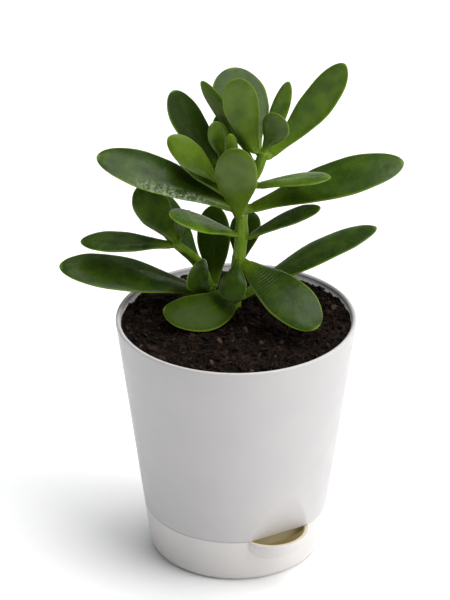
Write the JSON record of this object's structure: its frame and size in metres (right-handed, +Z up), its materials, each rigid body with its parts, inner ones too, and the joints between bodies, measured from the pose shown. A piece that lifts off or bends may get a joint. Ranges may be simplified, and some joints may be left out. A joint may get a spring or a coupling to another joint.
{
  "type": "potted jade plant",
  "caption": "Jade plant with fleshy paddle leaves on branching stems, in a tapered self-watering pot on a reservoir tray with a scooped filling spout.",
  "frame": {"origin": "centre of the reservoir tray's flat underside, on the pot's axis, on the surface the pot stands on", "axes": "+Z up; the filling spout faces -Y; the plant's two widest leaves lie across the direction that is turned 29 degrees clockwise from +X, seen from above"},
  "size_m": [0.1551, 0.12, 0.2466],
  "materials": {
    "pot_white": "satin",
    "tray_cream": "satin",
    "potting_mix": "loose and crumbly",
    "stem_green": "fleshy, semi-gloss",
    "leaf_young": "fleshy, semi-gloss",
    "leaf_mid": "fleshy, semi-gloss",
    "leaf_dark": "fleshy, semi-gloss"
  },
  "bodies": {
    "root": {"reservoir_tray": "tray_cream", "pot": "pot_white", "soil": "potting_mix", "main_stem": "stem_green", "left_shoot": "stem_green", "side_stem": "stem_green", "leaf_big_left": "leaf_dark", "leaf_big_right": "leaf_dark", "leaf_centre_front": "leaf_mid", "leaf_upper_back": "leaf_dark", "leaf_mid_left": "leaf_mid", "leaf_mid_right": "leaf_dark", "leaf_mid_back": "leaf_dark", "leaf_front_right": "leaf_dark", "leaf_front_narrow": "leaf_dark", "leaf_low_right": "leaf_dark", "leaf_low_front": "leaf_mid", "leaf_low_left": "leaf_dark", "leaf_small_front": "leaf_dark", "leaf_back_tall": "leaf_dark", "leaf_back_left": "leaf_dark", "leaf_side_back": "leaf_mid", "leaf_side_left": "leaf_dark", "leaf_side_upright": "leaf_young", "leaf_shoot_back": "leaf_dark", "leaf_shoot_left": "leaf_young", "leaf_shoot_inner": "leaf_mid", "leaf_bud_front": "leaf_young", "leaf_bud_back": "leaf_mid", "leaf_top_back": "leaf_dark", "leaf_top_front": "leaf_young", "leaf_top_left": "leaf_young", "leaf_top_right": "leaf_mid", "leaf_round_right": "leaf_young", "leaf_long_right": "leaf_mid", "leaf_fork_right": "leaf_mid"}
  },
  "joints": []
}
